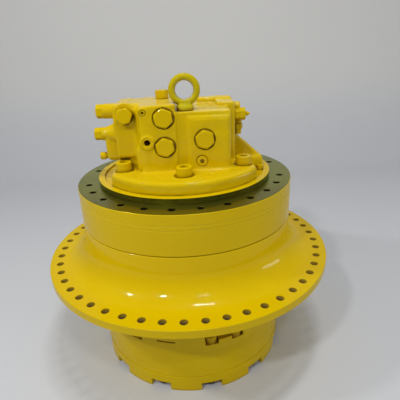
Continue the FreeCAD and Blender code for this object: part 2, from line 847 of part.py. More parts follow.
def make_brake():
    step = disc_thick + facing_gap
    plate = tube(motor_bore_r - facing_gap, plate_in_r, ledge_z, ledge_z + disc_thick)
    disc = tube(disc_out_r, block_r + running, ledge_z + step, ledge_z + step + disc_thick)
    plates = [moved(plate, V(0, 0, 2 * step * k)) for k in range(disc_count + 1)]
    discs = [moved(disc, V(0, 0, 2 * step * k)) for k in range(disc_count)]
    spring_top = pilot_top - head_spigot
    piston_foot = ledge_z + brake_stack - facing_gap
    piston = tube(motor_bore_r - running, brake_piston_in_r, piston_foot, spring_top - spring_height)
    rise = spring_height / 2
    lower = revolve([(spring_in_r, spring_top - rise - spring_plate), (spring_out_r, spring_top - 2 * rise),
                     (spring_out_r, spring_top - 2 * rise + spring_plate), (spring_in_r, spring_top - rise)])
    upper = revolve([(spring_in_r, spring_top - rise), (spring_in_r, spring_top - rise + spring_plate),
                     (spring_out_r, spring_top), (spring_out_r, spring_top - spring_plate)])
    return plates, discs, piston, [lower, upper]


def stadium_boss():
    """Upright boss on the front of the wing, round above and below, around the relief cap."""
    front = wing_front_y - cap_boss_proud
    length = cap_boss_back - front
    start = V(cap_x, front, cap_z)
    back = V(0, 1, 0)
    boss = rod_along(back, cap_boss_r, start, length)
    boss = boss.fuse(rod_along(back, cap_boss_r, start - UP * cap_boss_drop, length))
    web = Part.makeBox(2 * cap_boss_r, length, cap_boss_drop,
                       start - V(cap_boss_r, 0, cap_boss_drop))
    return boss.fuse(web)


def side_bosses():
    """Bosses on the left side that carry the hexagon plug and the port plug."""
    out = V(-1, 0, 0)
    upper = rod_along(out, left_plug_neck_r, V(left_x, left_plug_y, left_plug_z),
                      left_x - wing_x + left_plug_neck)
    cone = Part.makeCone(left_port_boss_r, left_port_neck_r, left_port_boss,
                         V(wing_x, left_port_y, left_port_z), out)
    neck = rod_along(out, left_port_neck_r, V(left_x, left_port_y, left_port_z),
                     left_x - wing_x + left_port_boss + left_port_neck)
    return [upper, cone, neck]


def make_ribs():
    """Upright webs that carry the raised part of the casting on the plate."""
    foot = head_plate_top - edge_break
    start = raised_side_x - edge_break
    corners = [V(start, 0, foot), V(raised_side_x + rib_reach, 0, foot),
               V(raised_side_x + rib_reach, 0, foot + edge_break), V(start, 0, foot + rib_height)]
    rib = Part.Face(Part.makePolygon(corners + corners[:1])).extrude(V(0, rib_thick, 0))
    return [moved(rib, V(0, rib_first_y + rib_pitch * k, 0)) for k in range(rib_count)]


def make_foot_plate():
    """Round foot plate, cut off flat at the left and beside the rim screw."""
    plate = cylinder(head_plate_r, head_seat, head_plate_top)
    tall = head_plate_top - head_seat
    left_cut = Part.makeBox(head_plate_r, 2 * head_plate_r, tall,
                            V(-head_flat_x - head_plate_r, -head_plate_r, head_seat))
    notch = Part.makeBox(head_plate_r, head_plate_r, tall,
                         V(head_flat_x, head_notch_y - head_plate_r, head_seat))
    plate = plate.cut([left_cut, notch])
    rim = [e for e in plate.Edges if e.BoundBox.ZMin > head_plate_top - thread_gap]
    return plate.makeFillet(head_plate_fillet, rim)


def head_cuts():
    back = V(0, 1, 0)
    cuts = []
    for x, z in port_plug_places:
        cuts.append(rod_along(back, port_plug_recess_r, V(x, front_y - boss_proud, z),
                              port_plug_recess + boss_proud))
        cuts.append(rod_along(back, port_plug_thread_r + thread_gap, V(x, plug_seat_y, z), port_plug_depth))
    cuts.append(rod_along(back, gauge_r, V(gauge_x, front_y, gauge_z), gauge_recess))
    cuts.append(rod_along(back, gauge_plug_r - edge_break, V(gauge_x, front_y, gauge_z),
                          gauge_recess + port_plug_depth))
    cuts.append(rod_along(back, pin_plug_r + facing_gap, V(pin_plug_x, front_y, pin_plug_z),
                          port_plug_depth))
    cuts.append(rod_along(back, port_hole_r, V(port_x, front_y - boss_proud, port_z),
                          port_hole_depth + boss_proud))
    cuts.append(rod_along(back, cap_thread_r + thread_gap,
                          V(cap_x, wing_front_y - cap_boss_proud, cap_z), cap_depth))
    cuts.append(cylinder(valley_r, head_plate_top, left_top, valley_x, front_y - valley_r + valley_depth))
    cuts += at_head_screws(cylinder(head_screw_spot_r, head_plate_top - head_screw_spot,
                                    head_plate_top + tool_room))
    cuts += at_head_screws(cylinder(head_screw_thread_r + thread_gap, head_seat, head_plate_top))
    for x in main_port_x:
        cuts.append(rod_along(-back, main_port_r, V(x, rear_y, main_port_z), main_port_depth))
        for side in (-1, 1):
            for level in (-1, 1):
                place = V(x + side * main_bolt_x / 2, rear_y, main_port_z + level * main_bolt_z / 2)
                cuts.append(rod_along(-back, main_bolt_r, place, main_bolt_depth))
    cuts.append(rod_along(V(-1, 0, 0), drain_r, V(port_block_x[1], drain_y, drain_z), drain_depth))
    cuts.append(cylinder(top_bearing_r + running, pilot_top - head_spigot, shaft_top))
    cuts.append(cylinder(eye_thread_r + thread_gap, right_top - eye_depth, right_top, eye_x, eye_y))
    return cuts


def make_right_block():
    """Right half of the casting; its front leans back a little below the top edge."""
    block = cast_block(rectangle(left_x / 2, right_x, front_y, casting_rear_y), block_corner_r,
                       head_plate_top - head_plate_fillet, right_top, left_top_r)
    wedge = [V(left_x, front_y - slope_depth, right_top - slope_height),
             V(left_x, front_y, right_top - slope_height),
             V(left_x, front_y + slope_depth, right_top),
             V(left_x, front_y - slope_depth, right_top)]
    return block.cut(Part.Face(Part.makePolygon(wedge + wedge[:1])).extrude(V(right_x - left_x, 0, 0)))


def make_motor_head():
    foot = head_plate_top - head_plate_fillet
    inner_x = left_x / 2
    left = cast_block(rectangle(left_x, step_x, front_y, casting_rear_y), left_corner_r, foot, left_top,
                      left_top_r)
    wing = cast_block(rectangle(wing_x, inner_x, wing_front_y, wing_rear_y), block_corner_r, web_foot,
                      left_top, block_top_r, round_foot=True)
    foot_outline = rectangle(wing_foot_x, inner_x, wing_front_y + edge_break, wing_rear_y - edge_break)
    wing_foot = cast_block(foot_outline, block_corner_r, foot, web_top, block_top_r)
    web = cast_block(rectangle(web_x, inner_x, web_front_y, web_rear_y), block_corner_r, web_foot,
                     web_top, block_top_r, round_foot=True)
    raised = cast_block(rectangle(raised_x, raised_side_x, raised_front_y, casting_rear_y), block_corner_r,
                        foot, raised_top, left_top_r)
    port_block = cast_block(rectangle(*port_block_x, 0, rear_y), block_corner_r, foot, port_block_top,
                            block_top_r)
    spigot = cylinder(motor_bore_r - running, pilot_top - head_spigot, head_seat)
    port_boss = rod_along(V(0, 1, 0), port_boss_r, V(port_x, front_y - boss_proud, port_z),
                          2 * port_boss_r)
    parts = [make_right_block(), left, wing, wing_foot, web, raised, port_block, spigot, stadium_boss(),
             port_boss]
    head = make_foot_plate().fuse(parts + side_bosses() + make_ribs())
    return head.cut(head_cuts()).removeSplitter()


def make_port_plugs():
    plug = hex_plug(port_plug_af, port_plug_recess + port_plug_proud, port_plug_thread_r,
                    port_plug_depth - edge_break, port_plug_turn)
    return [along(plug, V(0, -1, 0), V(x, plug_seat_y, z)) for x, z in port_plug_places]


def make_gauge_plug():
    plug = socket_screw(gauge_plug_r, gauge_recess + edge_break, gauge_plug_r - edge_break - thread_gap,
                        port_plug_depth - edge_break, gauge_socket_af)
    return along(plug, V(0, -1, 0), V(gauge_x, front_y + gauge_recess, gauge_z))


def make_pin_plug():
    pin = cylinder(pin_plug_r, edge_break - port_plug_depth, -edge_break)
    pin = pin.cut(cylinder(pin_plug_r / 2, -pin_plug_r, -edge_break))
    return along(pin, V(0, -1, 0), V(pin_plug_x, front_y, pin_plug_z))


def make_relief_cap():
    cap = hex_plug(cap_af, cap_height, cap_thread_r, cap_depth - edge_break, cap_turn)
    return along(cap, V(0, -1, 0), V(cap_x, wing_front_y - cap_boss_proud, cap_z))


def make_left_plug():
    plug = chamfered_hexagon(left_plug_af, left_plug_hex)
    return along(plug, V(-1, 0, 0), V(wing_x - left_plug_neck, left_plug_y, left_plug_z))


def make_left_port_plug():
    plug = chamfered_hexagon(left_port_af, left_port_hex)
    return along(plug, V(-1, 0, 0), V(wing_x - left_port_boss - left_port_neck, left_port_y, left_port_z))


def make_left_bleeder():
    head = cylinder(knob_r, knob_neck, knob_neck + knob_head)
    rim = [e for e in head.Edges if e.BoundBox.ZLength < thread_gap]
    knob = cylinder(knob_neck_r, 0, knob_neck).fuse(head.makeChamfer(knob_r / 4, rim))
    return along(knob, V(-1, 0, 0), V(web_x, knob_y, knob_z))


def make_side_cap():
    cap = cylinder(side_cap_r, 0, side_cap_reach)
    rim = [e for e in cap.Edges if e.BoundBox.ZMin > side_cap_reach - thread_gap]
    return along(cap.makeFillet(side_cap_round, rim), V(1, 0, 0), V(raised_side_x, side_cap_y, side_cap_z))


def make_adjuster():
    right = V(1, 0, 0)
    body_place = V(raised_side_x, adjuster_y, adjuster_z)
    body_bore = cylinder(adjuster_r + thread_gap, 0, adjuster_body)
    body = along(hexagon(adjuster_body_af, 0, adjuster_body).cut(body_bore), right, body_place)
    nut_place = V(raised_side_x + adjuster_body, adjuster_y, adjuster_z)
    nut = hexagon(adjuster_nut_af, 0, adjuster_nut).cut(cylinder(adjuster_r + thread_gap, 0, adjuster_nut))
    screw = cylinder(adjuster_r, -adjuster_body / 2, adjuster_reach)
    point = Part.makeCone(adjuster_r, adjuster_r / 4, adjuster_point, V(0, 0, adjuster_reach), UP)
    return body, along(nut, right, nut_place), along(screw.fuse(point), right, nut_place)


def make_elbow():
    corner = V(elbow_x, elbow_y, elbow_z)
    barrel = cylinder(elbow_r, elbow_z - elbow_down, elbow_z, elbow_x, elbow_y)
    stub = rod_along(V(1, 0, 0), elbow_r, V(raised_side_x, elbow_y, elbow_z), elbow_x - raised_side_x)
    nut_top = elbow_z - elbow_nut_drop
    nut = moved(hexagon(elbow_nut_af, nut_top - elbow_nut, nut_top), V(elbow_x, elbow_y, 0))
    return barrel.fuse([stub, nut, Part.makeSphere(elbow_ball_r, corner)])


def make_top_plug():
    plug = moved(chamfered_hexagon(top_plug_af, top_plug_height - top_plug_neck), V(0, 0, top_plug_neck))
    return moved(plug.fuse(cylinder(top_plug_neck_r, 0, top_plug_neck)), V(top_plug_x, top_plug_y, left_top))


def make_rim_screw():
    screw = socket_screw(rim_screw_r, rim_screw_head, rim_screw_thread_r, rim_screw_grip, rim_screw_r)
    return turned(moved(screw, V(rim_screw_pitch_r, 0, head_seat)), rim_screw_angle)


def make_eye_bolt():
    ring = Part.makeTorus(eye_ring_r, eye_wire_r, V(0, 0, eye_ring_z), V(0, 1, 0))
    collar = cylinder(eye_collar_r, 0, eye_collar)
    rim = [e for e in collar.Edges if e.BoundBox.ZMin > eye_collar - thread_gap]
    collar = collar.makeChamfer(2 * edge_break, rim)
    neck = Part.makeCone(eye_foot_r + eye_wire_r / 2, eye_foot_r, eye_ring_z - eye_ring_r - eye_collar,
                         V(0, 0, eye_collar), UP)
    shank = cylinder(eye_thread_r, edge_break - eye_depth, 0)
    return moved(ring.fuse([collar, neck, shank]), V(eye_x, eye_y, right_top))


def make_head_screws():
    screw = socket_screw(head_screw_head_r, head_screw_head, head_screw_thread_r,
                         head_plate_top - head_screw_spot - head_seat + head_screw_grip - edge_break,
                         head_screw_head_r)
    return at_head_screws(moved(screw, V(0, 0, head_plate_top - head_screw_spot)))


def main():
    os.makedirs("parts", exist_ok=True)
    keep("spindle", make_spindle())
    keep("sprocket_hub", make_sprocket_hub())
    keep("ring_gear", make_ring_gear())
    keep("end_cover", make_end_cover())
    keep("ring_screws", *make_ring_screws())
    keep("cover_bolts", *make_cover_bolts())
    keep("oil_plugs", *make_oil_plugs())
    for name, top, lean in (("upper", upper_race_top, 1), ("lower", lower_race_top, -1)):
        inner, outer, rollers, cage = make_bearing(top, lean)
        keep(name + "_inner_race", inner)
        keep(name + "_outer_race", outer)
        keep(name + "_rollers", *rollers)
        keep(name + "_roller_cage", cage)
    fixed_seal, moving_seal = make_seal_rings()
    keep("fixed_seal_ring", fixed_seal)
    keep("turning_seal_ring", moving_seal)
    keep("carrier_2", make_carrier_2())
    keep("carrier_2_screws", *make_carrier_screws())
    keep("planet_pins_2", *make_pins(pin_2_r, bush_2_wall, carrier_2_foot + pin_2_seat,
                                     planet_2_foot, stage_2_angle))
    keep("planet_bushes_2", *make_bushes(pin_2_r, bush_2_wall, gear_top, planet_2_foot, stage_2_angle))
    keep("carrier_1", make_carrier_1())
    keep("planet_pins_1", *make_pins(pin_1_r, bush_1_wall, carrier_1_top, planet_1_foot, stage_1_angle))
    keep("planet_bushes_1", *make_bushes(pin_1_r, bush_1_wall, planet_1_top, planet_1_foot, stage_1_angle))
    keep("sun_gear_2", make_sun_2())
    keep("sun_gear_1", make_sun_1())
    stage_1 = make_planets(pin_1_r + bush_1_wall + running, planet_1_foot, planet_1_top, stage_1_angle)
    stage_2 = make_planets(pin_2_r + bush_2_wall + running, planet_2_foot, gear_top, stage_2_angle)
    for letter, gear_1, gear_2 in zip("abc", stage_1, stage_2):
        keep("planet_gear_1" + letter, gear_1)
        keep("planet_gear_2" + letter, gear_2)
    keep("motor_shaft", make_shaft())
    keep("cylinder_block", make_cylinder_block())
    keep("pistons", *make_pistons())
    keep("swash_plate", tube(swash_r, shaft_passage_r, chamber_floor, swash_face))
    keep("valve_plate", make_valve_plate())
    keep("lower_shaft_bearing", tube(shaft_bearing_r - running, shaft_mid_r + running,
                                     chamber_floor - shaft_bearing_width, chamber_floor))
    keep("upper_shaft_bearing", tube(top_bearing_r, shaft_top_r + running, pilot_top, shaft_top))
    plates, discs, piston, springs = make_brake()
    keep("brake_plates", *plates)
    keep("brake_discs", *discs)
    keep("brake_piston", piston)
    keep("brake_springs", *springs)
    keep("motor_head", make_motor_head())
    keep("head_screws", *make_head_screws())
    keep("port_plugs", *make_port_plugs())
    keep("gauge_plug", make_gauge_plug())
    keep("pin_plug", make_pin_plug())
    keep("relief_cap", make_relief_cap())
    keep("left_plug", make_left_plug())
    keep("left_port_plug", make_left_port_plug())
    keep("left_bleeder", make_left_bleeder())
    keep("side_cap", make_side_cap())
    body, nut, screw = make_adjuster()
    keep("adjuster_body", body)
    keep("adjuster_nut", nut)
    keep("adjuster_screw", screw)
    keep("elbow_fitting", make_elbow())
    keep("top_plug", make_top_plug())
    keep("rim_screw", make_rim_screw())
    keep("eye_bolt", make_eye_bolt())


main()
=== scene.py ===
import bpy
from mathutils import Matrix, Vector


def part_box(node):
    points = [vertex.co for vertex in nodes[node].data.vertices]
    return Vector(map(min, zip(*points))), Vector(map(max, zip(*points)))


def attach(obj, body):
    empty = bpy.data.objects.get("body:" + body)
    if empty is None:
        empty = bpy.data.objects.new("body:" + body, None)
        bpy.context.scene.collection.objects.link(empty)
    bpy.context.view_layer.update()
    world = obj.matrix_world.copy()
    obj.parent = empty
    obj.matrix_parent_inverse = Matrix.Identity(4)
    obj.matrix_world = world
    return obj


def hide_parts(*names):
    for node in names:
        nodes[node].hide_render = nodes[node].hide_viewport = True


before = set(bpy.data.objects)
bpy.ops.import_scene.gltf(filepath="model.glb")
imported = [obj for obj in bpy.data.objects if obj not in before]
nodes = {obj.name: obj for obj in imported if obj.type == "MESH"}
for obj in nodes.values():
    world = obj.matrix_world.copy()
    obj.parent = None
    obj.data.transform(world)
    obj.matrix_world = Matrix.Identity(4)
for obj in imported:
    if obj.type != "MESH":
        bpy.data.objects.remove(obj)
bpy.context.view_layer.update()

import math

import bmesh
import bpy
from mathutils import Matrix, Vector, noise

# Places on the drive, in metres, read from the frame
floor_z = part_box("end_cover")[0].z
pilot_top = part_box("upper_shaft_bearing")[0].z
pilot_height = 0.0174
bare_pilot_height = 0.0164
plate_over_pilot = 0.0346
bolting_face = pilot_top - pilot_height
bare_pilot_top = bolting_face + bare_pilot_height
bare_rim = 0.333
frame_holes_inner, frame_holes_outer = 0.288, 0.312
groove_heights = ((0.1990, 0.2008), (0.2114, 0.2132))
plate_top = pilot_top + plate_over_pilot
sprocket_holes_inner, sprocket_holes_outer = 0.4125, 0.4375
flange_face = 0.0
flange_back = -0.025
neck_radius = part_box("ring_gear")[1].x
pocket_foot = -0.178
recess_radius = 0.2525
front_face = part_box("port_plugs")[0].y + 0.005
front_half = -0.05
left_side = -0.117
left_block_top = 0.481
step_between_blocks = -0.015
port_plug_radius = 0.0293
plug_seat_inner, plug_seat_outer = 0.0236, 0.0298
cap_seat_inner, cap_seat_outer = 0.019, 0.0265
port_plug_centres = ((0.0617, 0.3836), (-0.0486, 0.4460), (-0.0489, 0.3668))
open_port_centre = (-0.0967, 0.3817)
pin_plug_centre = (-0.103, 0.463)
relief_cap_centre = (-0.1586, 0.4505)
gauge_plug_centre = (0.0521, 0.3231)

# Thickness of the clear gloss over the enamel
coat_weight = 0.26
cast_coat_weight = 0.34

# Colours of the finishes, linear red, green and blue
ENAMEL = (0.66, 0.455, 0.0)
ENAMEL_DEEP = (0.58, 0.36, 0.0)
ENAMEL_PALE = (0.69, 0.50, 0.001)
# Pale dust and painted sheen on faces that look up
ENAMEL_DUST_AND_SHEEN = (0.74, 0.55, 0.07)
# Painted shadow and thin paint, brown, on the lower right of sunk plugs
SHADE_AND_THIN_PAINT_BROWN = (0.16, 0.07, 0.006)
# Painted highlight along the grooves
GROOVE_HIGHLIGHT = (0.80, 0.62, 0.03)
EYE_OLIVE = (0.50, 0.405, 0.003)
EYE_DEEP = (0.32, 0.25, 0.002)
# Painted shade, brown, in tight corners
CREVICE_SHADE_BROWN = (0.15, 0.062, 0.002)
# Painted shade, deep in the drilled holes and in the plug's socket
HOLE_DEEP_SHADE = (0.10, 0.048, 0.006)
# Painted shade in the screw pockets and at the seats of their screws
POCKET_SHADE_BROWN = (0.40, 0.235, 0.006)
# Painted light on the bell's wall
BELL_PAINTED_LIGHT = (0.84, 0.585, 0.0)
# Painted shade at the mouth of the drilled holes
HOLE_MOUTH_SHADE = (0.40, 0.27, 0.03)
# Painted shade, black, in the tapped holes
HOLE_SHADE_BLACK = (0.012, 0.010, 0.006)
OILED_STEEL = (0.24, 0.255, 0.02)
# Blotches of oil and painted shade on the bare steel
OIL_FILM_AND_SHADE = (0.19, 0.175, 0.02)
# Painted reflections on the oiled steel
BLUE_REFLECTION = (0.05, 0.07, 0.14)
GREEN_REFLECTION = (0.06, 0.16, 0.03)
BARE_STEEL = (0.50, 0.49, 0.46)
GROUND_STEEL = (0.62, 0.62, 0.61)
GEAR_STEEL = (0.44, 0.44, 0.45)
IRON = (0.16, 0.16, 0.165)
BRONZE = (0.56, 0.36, 0.13)
LINING = (0.12, 0.08, 0.05)
BLUED_STEEL = (0.12, 0.13, 0.17)
BLACK_SCREW = (0.07, 0.04, 0.012)
FLOOR_GREY = (0.62, 0.635, 0.66)
WALL_GREY = (0.76, 0.75, 0.72)


# Shader nodes: short calls for the node trees below

def add_node(tree, kind, **settings):
    node = tree.nodes.new(kind)
    for name, value in settings.items():
        setattr(node, name, value)
    return node


def set_inputs(node, **values):
    for name, value in values.items():
        node.inputs[name.replace("_", " ")].default_value = value
    return node


def link(tree, source, target):
    tree.links.new(source, target)


def colour4(colour):
    return (colour[0], colour[1], colour[2], 1.0)


def scalar_math(tree, operation, first, second=None):
    node = add_node(tree, "ShaderNodeMath", operation=operation)
    for slot, value in zip(node.inputs, (first, second)):
        if value is None:
            continue
        if isinstance(value, (int, float)):
            slot.default_value = value
        else:
            link(tree, value, slot)
    return node.outputs[0]


def remap(tree, value, low, high, to_low=0.0, to_high=1.0):
    """The value taken from low..high to to_low..to_high, held at the ends, with a soft start and stop."""
    node = add_node(tree, "ShaderNodeMapRange", interpolation_type="SMOOTHSTEP")
    node.inputs["From Min"].default_value = low
    node.inputs["From Max"].default_value = high
    node.inputs["To Min"].default_value = to_low
    node.inputs["To Max"].default_value = to_high
    link(tree, value, node.inputs["Value"])
    return node.outputs["Result"]


def mixed(tree, factor, first, second):
    """Colour between first and second; each is a colour or a socket."""
    node = add_node(tree, "ShaderNodeMix", data_type="RGBA")
    sockets = [s for s in node.inputs if s.type == "RGBA"]
    for socket, value in zip(sockets, (first, second)):
        if isinstance(value, tuple):
            socket.default_value = colour4(value)
        else:
            link(tree, value, socket)
    factor_socket = node.inputs["Factor"]
    if isinstance(factor, (int, float)):
        factor_socket.default_value = factor
    else:
        link(tree, factor, factor_socket)
    return [s for s in node.outputs if s.type == "RGBA"][0]


def noise_value(tree, vector, scale, detail=3.0, roughness=0.5):
    node = add_node(tree, "ShaderNodeTexNoise")
    set_inputs(node, Scale=scale, Detail=detail, Roughness=roughness)
    link(tree, vector, node.inputs["Vector"])
    return node.outputs["Fac"]


def new_group(name, inputs, outputs):
    """Empty node group; inputs and outputs are (name, kind, default) and (name, kind)."""
    tree = bpy.data.node_groups.new(name, "ShaderNodeTree")
    for label, kind, default in inputs:
        socket = tree.interface.new_socket(label, in_out="INPUT", socket_type=kind)
        socket.default_value = default
    for label, kind in outputs:
        tree.interface.new_socket(label, in_out="OUTPUT", socket_type=kind)
    entry = tree.nodes.new("NodeGroupInput")
    leave = tree.nodes.new("NodeGroupOutput")
    return tree, entry, leave


def place_group(tree, group, **values):
    node = add_node(tree, "ShaderNodeGroup", node_tree=group)
    return set_inputs(node, **values)


# Effects that several finishes share

def make_sprayed_enamel():
    """Tone and gloss of thick sprayed enamel: faint runs of tone, painted shade, brown, in tight corners,
    dust and painted sheen on top.
    """
    tree, entry, leave = new_group(
        "sprayed_enamel",
        [("Colour", "NodeSocketColor", colour4(ENAMEL)),
         ("Deep Colour", "NodeSocketColor", colour4(ENAMEL_DEEP)),
         ("Pale Colour", "NodeSocketColor", colour4(ENAMEL_PALE)),
         ("Crevice", "NodeSocketFloat", 1.0),
         ("DustAndSheen", "NodeSocketFloat", 0.0)],
        [("Colour", "NodeSocketColor"), ("Roughness", "NodeSocketFloat")])
    place = add_node(tree, "ShaderNodeTexCoord").outputs["Object"]
    broad = remap(tree, noise_value(tree, place, 6.0), 0.35, 0.7)
    fine = remap(tree, noise_value(tree, place, 90.0, detail=5.0), 0.45, 0.75)
    tone = mixed(tree, scalar_math(tree, "MULTIPLY", broad, 0.35), entry.outputs["Colour"],
                 entry.outputs["Pale Colour"])
    tone = mixed(tree, scalar_math(tree, "MULTIPLY", fine, 0.12), tone, entry.outputs["Deep Colour"])
    facing = add_node(tree, "ShaderNodeSeparateXYZ")
    link(tree, add_node(tree, "ShaderNodeTexCoord").outputs["Normal"], facing.inputs["Vector"])
    # Dust and painted sheen on faces that look up, as much as the dust input asks
    top = remap(tree, facing.outputs["Z"], 0.75, 0.98)
    top = scalar_math(tree, "MULTIPLY", top, remap(tree, noise_value(tree, place, 12.0), 0.3, 0.65, 0.4, 1.0))
    tone = mixed(tree, scalar_math(tree, "MULTIPLY", top, entry.outputs["DustAndSheen"]), tone, ENAMEL_DUST_AND_SHEEN)
    # Painted shade: brown where ambient occlusion finds a tight corner
    corner = add_node(tree, "ShaderNodeAmbientOcclusion", samples=8)
    corner.inputs["Distance"].default_value = 0.016
    shade = remap(tree, corner.outputs["AO"], 0.2, 0.85, 1.0, 0.0)
    shade = scalar_math(tree, "MULTIPLY", shade, entry.outputs["Crevice"])
    tone = mixed(tree, scalar_math(tree, "MULTIPLY", shade, 0.75), tone, CREVICE_SHADE_BROWN)
    gloss = remap(tree, noise_value(tree, place, 22.0, detail=4.0), 0.3, 0.75, 0.22, 0.36)
    link(tree, tone, leave.inputs["Colour"])
    link(tree, gloss, leave.inputs["Roughness"])
    return tree


def make_painted_relief():
    """Normal of a painted surface: rounded edges, orange peel and a coarser cast skin."""
    tree, entry, leave = new_group(
        "painted_relief",
        [("Edge Radius", "NodeSocketFloat", 0.001), ("Peel", "NodeSocketFloat", 0.2),
         ("Cast", "NodeSocketFloat", 0.0)],
        [("Normal", "NodeSocketVector")])
    place = add_node(tree, "ShaderNodeTexCoord").outputs["Object"]
    edge = add_node(tree, "ShaderNodeBevel", samples=6)
    link(tree, entry.outputs["Edge Radius"], edge.inputs["Radius"])
    peel = scalar_math(tree, "MULTIPLY", noise_value(tree, place, 260.0, detail=2.0), entry.outputs["Peel"])
    cast = scalar_math(tree, "MULTIPLY", noise_value(tree, place, 70.0, detail=4.0), entry.outputs["Cast"])
    height = scalar_math(tree, "ADD", peel, cast)
    bump = add_node(tree, "ShaderNodeBump")
    set_inputs(bump, Strength=1.0, Distance=0.0005)
    link(tree, height, bump.inputs["Height"])
    link(tree, edge.outputs["Normal"], bump.inputs["Normal"])
    link(tree, bump.outputs["Normal"], leave.inputs["Normal"])
    return tree


def make_turned_finish():
    """Rings left by the lathe round the Z axis, as height, and blotches of oil, as a mask."""
    tree, entry, leave = new_group(
        "turned_finish",
        [("Ring Scale", "NodeSocketFloat", 900.0), ("Blotch Scale", "NodeSocketFloat", 14.0)],
        [("Height", "NodeSocketFloat"), ("Blotch", "NodeSocketFloat")])
    place = add_node(tree, "ShaderNodeTexCoord").outputs["Object"]
    parts = add_node(tree, "ShaderNodeSeparateXYZ")
    link(tree, place, parts.inputs["Vector"])
    square_x = scalar_math(tree, "MULTIPLY", parts.outputs["X"], parts.outputs["X"])
    square_y = scalar_math(tree, "MULTIPLY", parts.outputs["Y"], parts.outputs["Y"])
    radius = scalar_math(tree, "SQRT", scalar_math(tree, "ADD", square_x, square_y))
    line = scalar_math(tree, "ADD", radius, parts.outputs["Z"])
    rings = add_node(tree, "ShaderNodeTexNoise", noise_dimensions="1D")
    link(tree, scalar_math(tree, "MULTIPLY", line, entry.outputs["Ring Scale"]), rings.inputs["W"])
    rings.inputs["Scale"].default_value = 1.0
    blotch = add_node(tree, "ShaderNodeTexNoise")
    link(tree, entry.outputs["Blotch Scale"], blotch.inputs["Scale"])
    link(tree, place, blotch.inputs["Vector"])
    blotch.inputs["Detail"].default_value = 4.0
    link(tree, rings.outputs["Fac"], leave.inputs["Height"])
    link(tree, remap(tree, blotch.outputs["Fac"], 0.38, 0.66), leave.inputs["Blotch"])
    return tree


sprayed_enamel = make_sprayed_enamel()
painted_relief = make_painted_relief()
turned_finish = make_turned_finish()


# Finishes

def new_material(name):
    material = bpy.data.materials.new(name)
    material.use_nodes = True
    tree = material.node_tree
    return material, tree, tree.nodes["Principled BSDF"]


def radius_and_height(tree):
    """Distance from the axis of rotation and height, as sockets."""
    place = add_node(tree, "ShaderNodeTexCoord").outputs["Object"]
    parts = add_node(tree, "ShaderNodeSeparateXYZ")
    link(tree, place, parts.inputs["Vector"])
    square_x = scalar_math(tree, "MULTIPLY", parts.outputs["X"], parts.outputs["X"])
    square_y = scalar_math(tree, "MULTIPLY", parts.outputs["Y"], parts.outputs["Y"])
    return scalar_math(tree, "SQRT", scalar_math(tree, "ADD", square_x, square_y)), parts.outputs["Z"]


def between(tree, value, low, high, soft=0.0004):
    """Mask that is 1 while the value lies between low and high."""
    rising = remap(tree, value, low - soft, low + soft)
    falling = remap(tree, value, high - soft, high + soft, 1.0, 0.0)
    return scalar_math(tree, "MULTIPLY", rising, falling)


def enamel_coat(shader, weight=coat_weight):
    set_inputs(shader, Coat_Weight=weight, Coat_Roughness=0.04, Coat_IOR=1.45, Specular_IOR_Level=0.03)


def make_enamel(name, edge=0.001, peel=0.25, cast=0.0, crevice=1.0):
    material, tree, shader = new_material(name)
    tone = place_group(tree, sprayed_enamel, Crevice=crevice)
    relief = place_group(tree, painted_relief, Edge_Radius=edge, Peel=peel, Cast=cast)
    link(tree, tone.outputs["Colour"], shader.inputs["Base Color"])
    link(tree, tone.outputs["Roughness"], shader.inputs["Roughness"])
    link(tree, relief.outputs["Normal"], shader.inputs["Normal"])
    enamel_coat(shader)
    return material


def make_hub_finish():
    """Yellow enamel, with painted light that makes the bell a little paler; painted shade, brown, inside the
    drilled holes and the screw pockets.
    """
    material, tree, shader = new_material("hub_finish")
    radius, height = radius_and_height(tree)
    in_flange = between(tree, height, flange_back + 0.001, flange_face - 0.001)
    in_rim = between(tree, radius, sprocket_holes_inner, sprocket_holes_outer)
    hole = scalar_math(tree, "MULTIPLY", in_flange, in_rim)
    # Painted shade in the screw pockets under the flange, strongest at and below the pocket floor
    sunk = remap(tree, radius, neck_radius - 0.003, neck_radius - 0.0008, 1.0, 0.0)
    low = remap(tree, height, flange_back - 0.06, flange_back - 0.05, 1.0, 0.0)
    pocket = scalar_math(tree, "MULTIPLY", sunk, low)
    foot = remap(tree, height, pocket_foot - 0.002, pocket_foot + 0.006, 1.0, 0.45)
    pocket = scalar_math(tree, "MULTIPLY", pocket, foot)
    # Painted shade inside the drilled holes of the flange, darker with depth
    depth = remap(tree, height, flange_back + 0.006, flange_face - 0.003, 1.0, 0.0)
    drilled = mixed(tree, depth, HOLE_MOUTH_SHADE, HOLE_DEEP_SHADE)
    tone = place_group(tree, sprayed_enamel)
    relief = place_group(tree, painted_relief, Edge_Radius=0.0012, Peel=0.2)
    # Painted light: the bell's wall above the flare a little paler
    bell = remap(tree, height, flange_face + 0.03, flange_face + 0.085, 0.0, 0.4)
    finish = mixed(tree, bell, tone.outputs["Colour"], BELL_PAINTED_LIGHT)
    finish = mixed(tree, hole, finish, drilled)
    finish = mixed(tree, scalar_math(tree, "MULTIPLY", pocket, 0.8), finish, POCKET_SHADE_BROWN)
    link(tree, finish, shader.inputs["Base Color"])
    link(tree, tone.outputs["Roughness"], shader.inputs["Roughness"])
    link(tree, relief.outputs["Normal"], shader.inputs["Normal"])
    enamel_coat(shader)
    return material


def distance_from(tree, across, upward, centre):
    """Distance from a line along Y through centre, as a socket."""
    side = scalar_math(tree, "SUBTRACT", across, centre[0])
    rise = scalar_math(tree, "SUBTRACT", upward, centre[1])
    square = scalar_math(tree, "ADD", scalar_math(tree, "MULTIPLY", side, side),
                         scalar_math(tree, "MULTIPLY", rise, rise))
    return scalar_math(tree, "SQRT", square)


